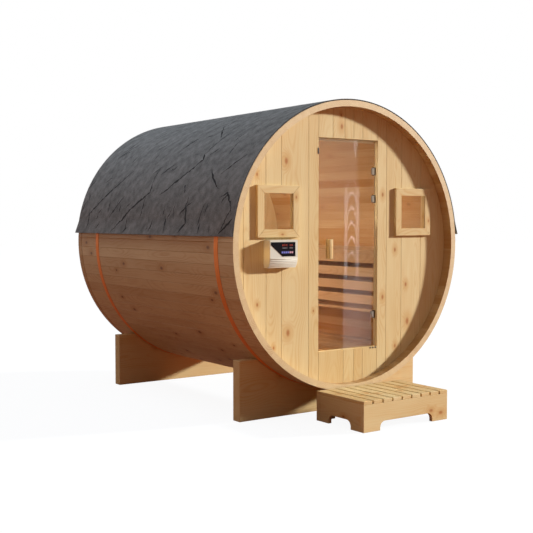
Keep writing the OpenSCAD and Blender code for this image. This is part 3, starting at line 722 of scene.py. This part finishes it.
low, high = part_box("door_pull")
bm = timber("door_pull")
ease(bm, sharp_edges(bm.edges, 60), 0.002)
set_grain(bm, Z, X, Vector(((low.x + high.x) / 2, low.y, low.z)), random.Random(61), tone=-0.7, knots=[])
piece("pull_block", bm, wall_pine, "pull_wood", "door_pull", body="door", smooth=True)

# The head stop takes the cabin's pine, whose darker colour is painted shade, as it lies in the header's shadow
low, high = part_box("door_head_stop")
bm = timber()
plank(bm, low, high, X, random.Random(63), edge=0.002, knots=[])
piece("head_stop_strip", bm, cabin_pine, "pine", "door_head_stop")


# Brushed stainless steel: grey, with fine upright scratches that spread its reflection
steel, tree = bare_material("brushed_stainless_steel")
# Scratches 1.5 mm apart and 60 mm long
scratch = add(tree, "Mapping", {"Vector": add(tree, "TexCoord").outputs["Object"], "Scale": (660, 660, 16)})
scratches = add(tree, "TexNoise", {"Vector": scratch, "Scale": 1.0, "Detail": 3.0})
rough = add(tree, "MapRange", {"Value": scratches, 3: 0.34, 4: 0.52})
tint = add(tree, "Mix", {0: scratches, 6: linear("#a8a49b"), 7: linear("#cdc8bd")}, data_type="RGBA")
shader = add(tree, "BsdfPrincipled", {"Base Color": tint, "Metallic": 0.7, "Roughness": rough})
add(tree, "OutputMaterial", {"Surface": shader})
# Blackened steel of the jamb plates, the catch and the screws: dark and dull, worn a little paler in spots
black_steel, tree = bare_material("blackened_steel")
# Wear some 6 mm wide
place = add(tree, "TexCoord").outputs["Object"]
wear = add(tree, "TexNoise", {"Vector": place, "Scale": 160.0, "Detail": 2.0})
tint = add(tree, "Mix", {0: wear, 6: linear("#2e2a28"), 7: linear("#4c4642")}, data_type="RGBA")
shader = add(tree, "BsdfPrincipled", {"Base Color": tint, "Metallic": 0.4, "Roughness": 0.6,
                                      "Specular IOR Level": 0.3})
add(tree, "OutputMaterial", {"Surface": shader})
for name, made, metal, body in (("door_hinge_clamps", "hinge_clamps", steel, "door"),
                                ("door_hinge_plates", "hinge_plates", black_steel, "cabin"),
                                ("door_catch", "catch_plate", black_steel, "cabin")):
    bm = timber(name)
    ease(bm, sharp_edges(bm.edges, 60), 0.0008)
    piece(made, bm, metal, "hinge_steel", name, body=body, smooth=True)

bm = bmesh.new()
screw_inset, screw_spacing, screw_drop = 0.016, 0.026, 0.008
screw_radius, screw_height, screw_proud = 0.0065, 0.003, 0.0012
for i in range(3):
    head = bmesh.ops.create_cone(bm, cap_ends=True, segments=24, radius1=screw_radius, radius2=screw_radius,
                                 depth=screw_height)["verts"]
    bmesh.ops.rotate(bm, cent=(0, 0, 0), matrix=Matrix.Rotation(math.radians(90), 3, "X"), verts=head)
    x = door_right - screw_inset - i * screw_spacing
    bmesh.ops.translate(bm, vec=(x, wall_front - screw_proud, axis_z + door_foot - screw_drop), verts=head)
ease(bm, sharp_edges(bm.edges, 50), 0.0008)
piece("sill_screws", bm, black_steel, "hinge_steel", smooth=True)

# Control box. A moulded plastic housing hangs on the front wall under the left window. Its lower front curls
# back in ribs, and a dark display with lit figures lies over its upper front.
# Cream ABS, moulded with a fine matt grain
abs_cream, tree = bare_material("cream_moulded_abs")
place = add(tree, "TexCoord").outputs["Object"]
# Mould grain 0.8 mm across, and a cloudiness some 60 mm wide
pits = add(tree, "TexNoise", {"Vector": place, "Scale": 1250.0, "Detail": 1.0})
cloud = add(tree, "TexNoise", {"Vector": place, "Scale": 16.0, "Detail": 2.0})
tint = add(tree, "Mix", {0: cloud, 6: linear("#dddfd9"), 7: linear("#d4d5cb")}, data_type="RGBA")
bump = add(tree, "Bump", {"Strength": 0.2, "Distance": 0.0002, "Height": pits})
rough = add(tree, "MapRange", {"Value": pits, 3: 0.36, 4: 0.5})
shader = add(tree, "BsdfPrincipled", {"Base Color": tint, "Roughness": rough, "Normal": bump,
                                      "Specular IOR Level": 0.35})
add(tree, "OutputMaterial", {"Surface": shader})
bm = timber("control_box")
ease(bm, sharp_edges(bm.edges, 40), 0.0006, 1)
piece("control_housing", bm, abs_cream, "box_plastic", "control_box")

# Smoked acrylic: near black and glossy
acrylic, tree = bare_material("smoked_acrylic")
# Faint wipe marks some 25 mm wide
place = add(tree, "TexCoord").outputs["Object"]
haze = add(tree, "TexNoise", {"Vector": place, "Scale": 40.0, "Detail": 2.0})
rough = add(tree, "MapRange", {"Value": haze, 3: 0.18, 4: 0.32})
tint = add(tree, "Mix", {0: haze, 6: linear("#131118"), 7: linear("#1d1a22")}, data_type="RGBA")
shader = add(tree, "BsdfPrincipled", {"Base Color": tint, "Roughness": rough, "Specular IOR Level": 0.06})
add(tree, "OutputMaterial", {"Surface": shader})
bm = timber("control_display")
ease(bm, sharp_edges(bm.edges, 40), 0.0005)
piece("display_window", bm, acrylic, "display_glass", "control_display")


def lit_print(name, colour, strength):
    """Ink that is lit from behind through the acrylic, a little unevenly."""
    material, tree = bare_material(name)
    grit = add(tree, "TexNoise", {"Vector": add(tree, "TexCoord").outputs["Object"], "Scale": 300.0})
    power = add(tree, "MapRange", {"Value": grit, 3: 0.8 * strength, 4: 1.2 * strength})
    shader = add(tree, "BsdfPrincipled", {"Base Color": linear(colour), "Roughness": 0.3,
                                          "Emission Color": linear(colour), "Emission Strength": power})
    add(tree, "OutputMaterial", {"Surface": shader})
    return material


def bar(bm, x, z, width, height):
    """A flat lit bar on the display, a fifth of a millimetre proud."""
    block(bm, (width, 0.0004, height), (x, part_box("control_display")[0].y, z))


# The seven bars of a figure, from the top round to the left and then the middle
figure_bars = {"2": (0, 1, 3, 4, 6), "3": (0, 1, 2, 3, 6), "5": (0, 2, 3, 5, 6), "8": (0, 1, 2, 3, 4, 5, 6),
               "0": (0, 1, 2, 3, 4, 5)}


def figure(bm, digit, x, z, width, height, line):
    """A figure of up to seven bars round its middle."""
    half, side = height / 2, width / 2
    places = [(0, half, width, line), (side, half / 2, line, half), (side, -half / 2, line, half),
              (0, -half, width, line), (-side, -half / 2, line, half), (-side, half / 2, line, half),
              (0, 0, width, line)]
    for k in figure_bars[digit]:
        dx, dz, w, h = places[k]
        bar(bm, x + dx, z + dz, w, h)


low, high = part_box("control_display")
figure_row, label_row, key_row, key_side = 0.0215, 0.041, 0.071, 0.013
bm = bmesh.new()
for digit, x in (("8", 0.100), ("5", 0.116), ("0", 0.132), ("3", 0.162), ("0", 0.178)):
    figure(bm, digit, low.x + x, high.z - figure_row, 0.007, 0.010, 0.0014)
piece("display_figures", bm, lit_print("red_figures", "#c8452e", 0.25), "display_glass")
for name, ink, colour, strength, row, tall, bars in (
        ("display_labels", "grey_labels", "#77757a", 0.08, label_row, 0.006,
         ((0.102, 0.010), (0.117, 0.014), (0.133, 0.008), (0.162, 0.011), (0.177, 0.012))),
        ("display_keys", "blue_keys", "#6a6fc4", 0.25, key_row, key_side,
         ((0.096, key_side), (0.113, key_side), (0.130, key_side), (0.147, key_side))),
        ("display_heat_keys", "pink_keys", "#b98a9c", 0.25, key_row, key_side,
         ((0.164, key_side), (0.181, key_side)))):
    bm = bmesh.new()
    for x, width in bars:
        bar(bm, low.x + x, high.z - row, width, tall)
    piece(name, bm, lit_print(ink, colour, strength), "display_glass")

# Hoops. Two flat bands of rolled steel with a copper coat run right round the barrel. They lie under the roof
# covering, and are drawn tight over the staves to hold them together.

# Copper-coated steel: orange and satin, a little duller in patches
hoop_metal, tree = bare_material("copper_coated_steel")
place = add(tree, "TexCoord").outputs["Object"]
# Dull patches some 70 mm long, and rolling marks 5 mm apart round the band
dull = add(tree, "TexNoise", {"Vector": place, "Scale": 14.0, "Detail": 3.0})
rolled = add(tree, "Mapping", {"Vector": place, "Scale": (2, 200, 2)})
marks = add(tree, "TexNoise", {"Vector": rolled, "Scale": 1.0, "Detail": 2.0})
tint = add(tree, "Mix", {0: dull, 6: linear("#f5964c"), 7: linear("#e3803c")}, data_type="RGBA")
rough = add(tree, "Math", {0: dull, 1: 0.3, 2: 0.4}, operation="MULTIPLY_ADD")
bump = add(tree, "Bump", {"Strength": 0.15, "Distance": 0.0003, "Height": marks})
shader = add(tree, "BsdfPrincipled", {"Base Color": tint, "Metallic": 0.35, "Roughness": rough,
                                      "Normal": bump, "Specular IOR Level": 0.25})
add(tree, "OutputMaterial", {"Surface": shader})
for name in ("hoop_front", "hoop_rear"):
    low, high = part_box(name)
    bm = bmesh.new()
    band, band_thick = (high.z - low.z) / 2, 0.002
    corner = [bm.verts.new((band - depth, y, 0)) for depth, y in (
        (0, low.y), (0, high.y), (band_thick, high.y), (band_thick, low.y))]
    ring = [bm.edges.new((corner[i], corner[(i + 1) % 4])) for i in range(4)]
    bmesh.ops.spin(bm, geom=corner + ring, cent=(0, 0, 0), axis=(0, 1, 0), angle=2 * math.pi, steps=192,
                   use_merge=True)
    bmesh.ops.remove_doubles(bm, verts=bm.verts, dist=1e-6)
    bmesh.ops.recalc_face_normals(bm, faces=bm.faces)
    ease(bm, sharp_edges(bm.edges, 60), 0.0006, 1)
    bmesh.ops.translate(bm, vec=(0, 0, axis_z), verts=bm.verts)
    piece(name.replace("hoop_", "band_"), bm, hoop_metal, "hoop_band", name, smooth=True)

# Roof covering. A slate-patterned mineral felt is laid over the upper half of the barrel in one sheet, nailed
# along the rims, and kicks out at both eaves so that water drips clear of the staves.
roof_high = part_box("roof_covering")[1]
felt_thick, felt_sunk = 0.006, 0.003
felt_radius = roof_high.z - axis_z - felt_sunk
eave_rise, kick_top = 0.079, 0.179
kick_turn = math.asin(kick_top / felt_radius)
eave_half = roof_high.x
felt_rows, felt_steps = 40, 96
bm = bmesh.new()
start = bm.verts.new((felt_radius * math.cos(kick_turn), front_rim, felt_radius * math.sin(kick_turn)))
arc = bmesh.ops.spin(bm, geom=[start], cent=(0, 0, 0), axis=(0, -1, 0), angle=math.pi - 2 * kick_turn,
                     steps=felt_steps)
for foot, side in ((start, 1), (arc["geom_last"][0], -1)):
    toe = bmesh.ops.extrude_vert_indiv(bm, verts=[foot])["verts"]
    toe[0].co = (side * eave_half, front_rim, eave_rise)
strip = bmesh.ops.extrude_edge_only(bm, edges=bm.edges[:])["geom"]
bmesh.ops.translate(bm, vec=(0, stave_length, 0),
                    verts=[g for g in strip if isinstance(g, bmesh.types.BMVert)])
bmesh.ops.subdivide_edges(bm, edges=[e for e in bm.edges if abs(e.verts[0].co.y - e.verts[1].co.y) > 1],
                          cuts=felt_rows - 1, use_grid_fill=True)


def eave_reach(side, y):
    """How far the eave stands out. The left one is nailed down close to the staves at the front rim."""
    kick_left, kick_right, nailed_run = 0.75, 0.6, 0.6
    share = min(kick_left, max(0.0, (y - front_rim) / nailed_run)) if side < 0 else kick_right
    tight = math.sqrt(felt_radius ** 2 - eave_rise ** 2)
    return tight + (eave_half - tight) * share * share * (3 - 2 * share)


for v in bm.verts:
    if v.co.z < eave_rise + 1e-4:
        v.co.x = math.copysign(eave_reach(v.co.x, v.co.y), v.co.x)
bmesh.ops.recalc_face_normals(bm, faces=bm.faces)
if bm.faces[0].normal.dot(bm.faces[0].calc_center_median()) < 0:
    bmesh.ops.reverse_faces(bm, faces=bm.faces)
bmesh.ops.solidify(bm, geom=bm.faces[:], thickness=felt_thick)
cut_edge = 0.0015
for y in (front_rim + cut_edge, rear_rim - cut_edge):
    bmesh.ops.bisect_plane(bm, geom=bm.verts[:] + bm.edges[:] + bm.faces[:], dist=1e-7, plane_co=(0, y, 0),
                           plane_no=Y)
unrolled = bm.verts.layers.float_vector.new("unrolled")
for v in bm.verts:
    cut = min(v.co.y - front_rim, rear_rim - v.co.y) < cut_edge / 2
    v[unrolled] = (felt_radius * abs(math.atan2(v.co.x, v.co.z)), v.co.y, 1.0 if cut else 0.0)
bmesh.ops.translate(bm, vec=(0, 0, axis_z), verts=bm.verts)

# Mineral felt: dark slate grey, mottled like split stone, with a dry sandy grain
felt, tree = bare_material("slate_mineral_felt")
place = add(tree, "Attribute", attribute_name="unrolled").outputs["Vector"]
# Streaks some 330 by 70 mm run down the slope to the rear, over mottling 50 mm wide. The grit is drawn 8 mm
# wide so that it shows.
slant = add(tree, "Mapping", {"Vector": place, "Rotation": (0, 0, math.radians(-45))})
streak = add(tree, "VectorMath", {0: slant, 1: (3.0, 14.0, 1)}, operation="MULTIPLY")
streaks = add(tree, "TexNoise", {"Vector": streak, "Scale": 1.0, "Detail": 3.0})
mottle = add(tree, "TexNoise", {"Vector": place, "Scale": 20.0, "Detail": 5.0})
grit = add(tree, "TexNoise", {"Vector": place, "Scale": 120.0, "Detail": 3.0})
tone = -1.05
for value, weight in ((streaks, 0.9), (mottle, 1.2), (grit, 1.0)):
    tone = add(tree, "Math", {0: value, 1: weight, 2: tone}, operation="MULTIPLY_ADD")
tint = add(tree, "Mix", {0: tone, 6: linear("#545a5b"), 7: linear("#929899")}, data_type="RGBA")
# The sheet's cut ends show its grey core
core = add(tree, "SeparateXYZ", {0: place}).outputs[2]
tint = add(tree, "Mix", {0: core, 6: tint, 7: linear("#505356")}, data_type="RGBA")
height = add(tree, "Math", {0: grit, 1: 0.5, 2: tone}, operation="MULTIPLY_ADD")
bump = add(tree, "Bump", {"Strength": 0.5, "Distance": 0.0015, "Height": height})
shader = add(tree, "BsdfPrincipled", {"Base Color": tint, "Roughness": 0.9, "Normal": bump,
                                      "Specular IOR Level": 0.08})
add(tree, "OutputMaterial", {"Surface": shader})
piece("roof_felt_sheet", bm, felt, "roof_felt", "roof_covering", smooth=True)

# Bitumen in the felt's cracks: black and dull
bitumen, tree = bare_material("dull_bitumen")
# Broken dull spots some 20 mm wide
place = add(tree, "TexCoord").outputs["Object"]
spots = add(tree, "TexNoise", {"Vector": place, "Scale": 50.0, "Detail": 2.0})
tint = add(tree, "Mix", {0: spots, 6: linear("#1e2122"), 7: linear("#35393b")}, data_type="RGBA")
shader = add(tree, "BsdfPrincipled", {"Base Color": tint, "Roughness": 0.85, "Specular IOR Level": 0.2})
add(tree, "OutputMaterial", {"Surface": shader})


def on_felt(arc_length, y, lift):
    """A point over the felt, from its distance round the roof from the ridge and its place along it."""
    turn = arc_length / felt_radius
    reach = felt_radius + lift
    rise = reach * math.cos(turn)
    out = reach * math.sin(turn)
    if rise < kick_top:
        share = (kick_top - rise) / (kick_top - eave_rise)
        kick_x = reach * math.cos(kick_turn)
        out = math.copysign(kick_x + share * (eave_reach(turn, y) + lift - kick_x), turn)
    return Vector((out, y, axis_z + rise))


def crack(bm, draw, path, width):
    """A crack along a path of points as (distance from the ridge, y), tapered at both ends."""
    step, jag, lift = 0.02, 0.005, 0.0004
    points = []
    for (arc_a, y_a), (arc_b, y_b) in zip(path, path[1:]):
        count = max(1, round(math.hypot(arc_b - arc_a, y_b - y_a) / step))
        points += [(arc_a + (arc_b - arc_a) * k / count, y_a + (y_b - y_a) * k / count) for k in range(count)]
    points.append(path[-1])
    points = [(arc_length + draw.uniform(-jag, jag), y + draw.uniform(-jag, jag)) for arc_length, y in points]
    edge = None
    for k, (arc_length, y) in enumerate(points):
        share = k / (len(points) - 1)
        back, on = points[max(0, k - 1)], points[min(len(points) - 1, k + 1)]
        heading = math.atan2(on[1] - back[1], on[0] - back[0])
        half = width / 2 * min(1.0, 0.2 + 4 * share, 0.15 + 2.2 * (1 - share)) * draw.uniform(0.35, 1.5)
        side = Vector((-math.sin(heading), math.cos(heading)))
        ends = [on_felt(arc_length + s * half * side.x, y + s * half * side.y, lift) for s in (1, -1)]
        if edge is None:
            edge = bm.edges.new([bm.verts.new(p) for p in ends])
        else:
            grown = bmesh.ops.extrude_edge_only(bm, edges=[edge])["geom"]
            edge = next(g for g in grown if isinstance(g, bmesh.types.BMEdge))
            for v, p in zip(edge.verts, ends):
                v.co = p


def wander(draw, arc_length, y, heading, length):
    """A crooked path over the felt."""
    path = [(arc_length, y)]
    while length > 0:
        stride = min(length, draw.uniform(0.05, 0.16))
        turn = heading + draw.uniform(-0.5, 0.5)
        arc_length += stride * math.cos(turn)
        y += stride * math.sin(turn)
        length -= stride
        if abs(arc_length) > slope - 0.01 or not front_rim + 0.012 < y < rear_rim - 0.012:
            break
        path.append((arc_length, y))
    return path


draw = random.Random(83)
bm = bmesh.new()
slope = felt_radius * (math.pi / 2 - math.asin(eave_rise / felt_radius))
# The main cracks of the left slope: the width, then points in metres down from the ridge and back from the
# front rim
main_cracks = (
    (0.014, (1.45, 2.30), (1.40, 2.22), (1.30, 2.07), (1.15, 1.85), (1.04, 1.72)),
    (0.012, (1.45, 1.86), (1.28, 1.68)),
    (0.016, (1.57, 1.77), (1.39, 1.51), (1.25, 1.27), (1.16, 1.28), (1.11, 1.29), (1.04, 1.27)),
    (0.014, (1.57, 1.56), (1.53, 1.49)), (0.013, (1.44, 0.93), (1.57, 0.90)),
    (0.018, (1.57, 0.70), (1.50, 0.62), (1.37, 0.66), (1.30, 0.65)), (0.010, (1.43, 0.73), (1.38, 0.66)),
    (0.014, (1.20, 0.77), (1.27, 0.73)),
    (0.015, (1.28, 1.11), (1.24, 1.02), (1.14, 0.87), (1.06, 0.76), (0.99, 0.69), (0.94, 0.72), (0.83, 0.67),
     (0.70, 0.61)),
    (0.011, (1.10, 1.21), (1.01, 1.08)), (0.012, (0.85, 1.14), (0.72, 1.02)),
    (0.017, (1.09, 0.49), (1.19, 0.38), (1.25, 0.29)),
    (0.016, (1.31, 0.22), (1.28, 0.16), (1.35, 0.09), (1.42, 0.05)), (0.015, (1.57, 0.17), (1.46, 0.02)),
    (0.014, (1.49, 0.42), (1.57, 0.42)), (0.011, (1.15, 0.35), (1.05, 0.23), (0.98, 0.13)),
    (0.012, (0.59, 0.86), (0.77, 0.68)), (0.012, (0.93, 1.49), (0.88, 1.46)),
    (0.011, (0.88, 2.20), (0.69, 2.03)), (0.013, (1.23, 2.36), (1.30, 2.32)))
for width, *path in main_cracks:
    crack(bm, draw, [(-down, front_rim + back) for down, back in path], width)
for side in (-1, 1):
    # The right slope gets long cracks at random, and both slopes get short ones all over and along the eave
    for rows, columns, lengths, widths, lean_low, lean_high, down_from in (
            (4, 5 if side > 0 else 0, (0.3, 0.8), (0.010, 0.018), 30, 55, 0.06),
            (4, 9, (0.04, 0.14), (0.005, 0.010), 10, 60, 0.1),
            (1, 12, (0.06, 0.2), (0.007, 0.013), -4, 30, 0.86)):
        for row in range(rows):
            for column in range(columns):
                down = down_from + (row + draw.uniform(0.15, 1.0)) / rows * (1 - down_from)
                at = rear_rim - (column + draw.uniform(0, 1)) / columns * stave_length
                lean = math.radians(draw.uniform(lean_low, lean_high))
                # A crack climbs to the ridge as it runs to the front
                heading = math.atan2(-math.sin(lean), -side * math.cos(lean))
                path = wander(draw, side * min(down, 0.985) * slope, at, heading, draw.uniform(*lengths))
                width = draw.uniform(*widths)
                if len(path) > 1:
                    crack(bm, draw, path, width)
bmesh.ops.recalc_face_normals(bm, faces=bm.faces)
bmesh.ops.solidify(bm, geom=bm.faces[:], thickness=0.0007)
piece("felt_cracks", bm, bitumen, "roof_felt")

# Entry step. Nine pine treads run from front to back over a box of aprons on bracket feet. It stands loose
# before the doorway, and the treads are screwed down from below.
draw = random.Random(91)
bm = boards_side_by_side("step_treads", 9, 0.012, draw)
piece("step_tread_boards", bm, wall_pine, "pine", "step_treads")
for name, along in (("step_apron_front", X), ("step_apron_rear", X), ("step_side_left", Y),
                    ("step_side_right", Y)):
    low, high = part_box(name)
    bm = timber(name)
    ease(bm, sharp_edges(bm.edges, 60), 0.002)
    origin = Vector((low.x, low.y, (low.z + high.z) / 2))
    marks = [(Vector((high.x - 0.065, low.y, low.z + 0.055)), 0.013),
             (Vector((high.x - 0.16, low.y, low.z + 0.08)), 0.012)]
    set_grain(bm, along, Z, origin, draw, tone=0.0, knots=marks if along == X else None)
    piece(name.replace("step_", "step_board_"), bm, wall_pine, "pine", name)
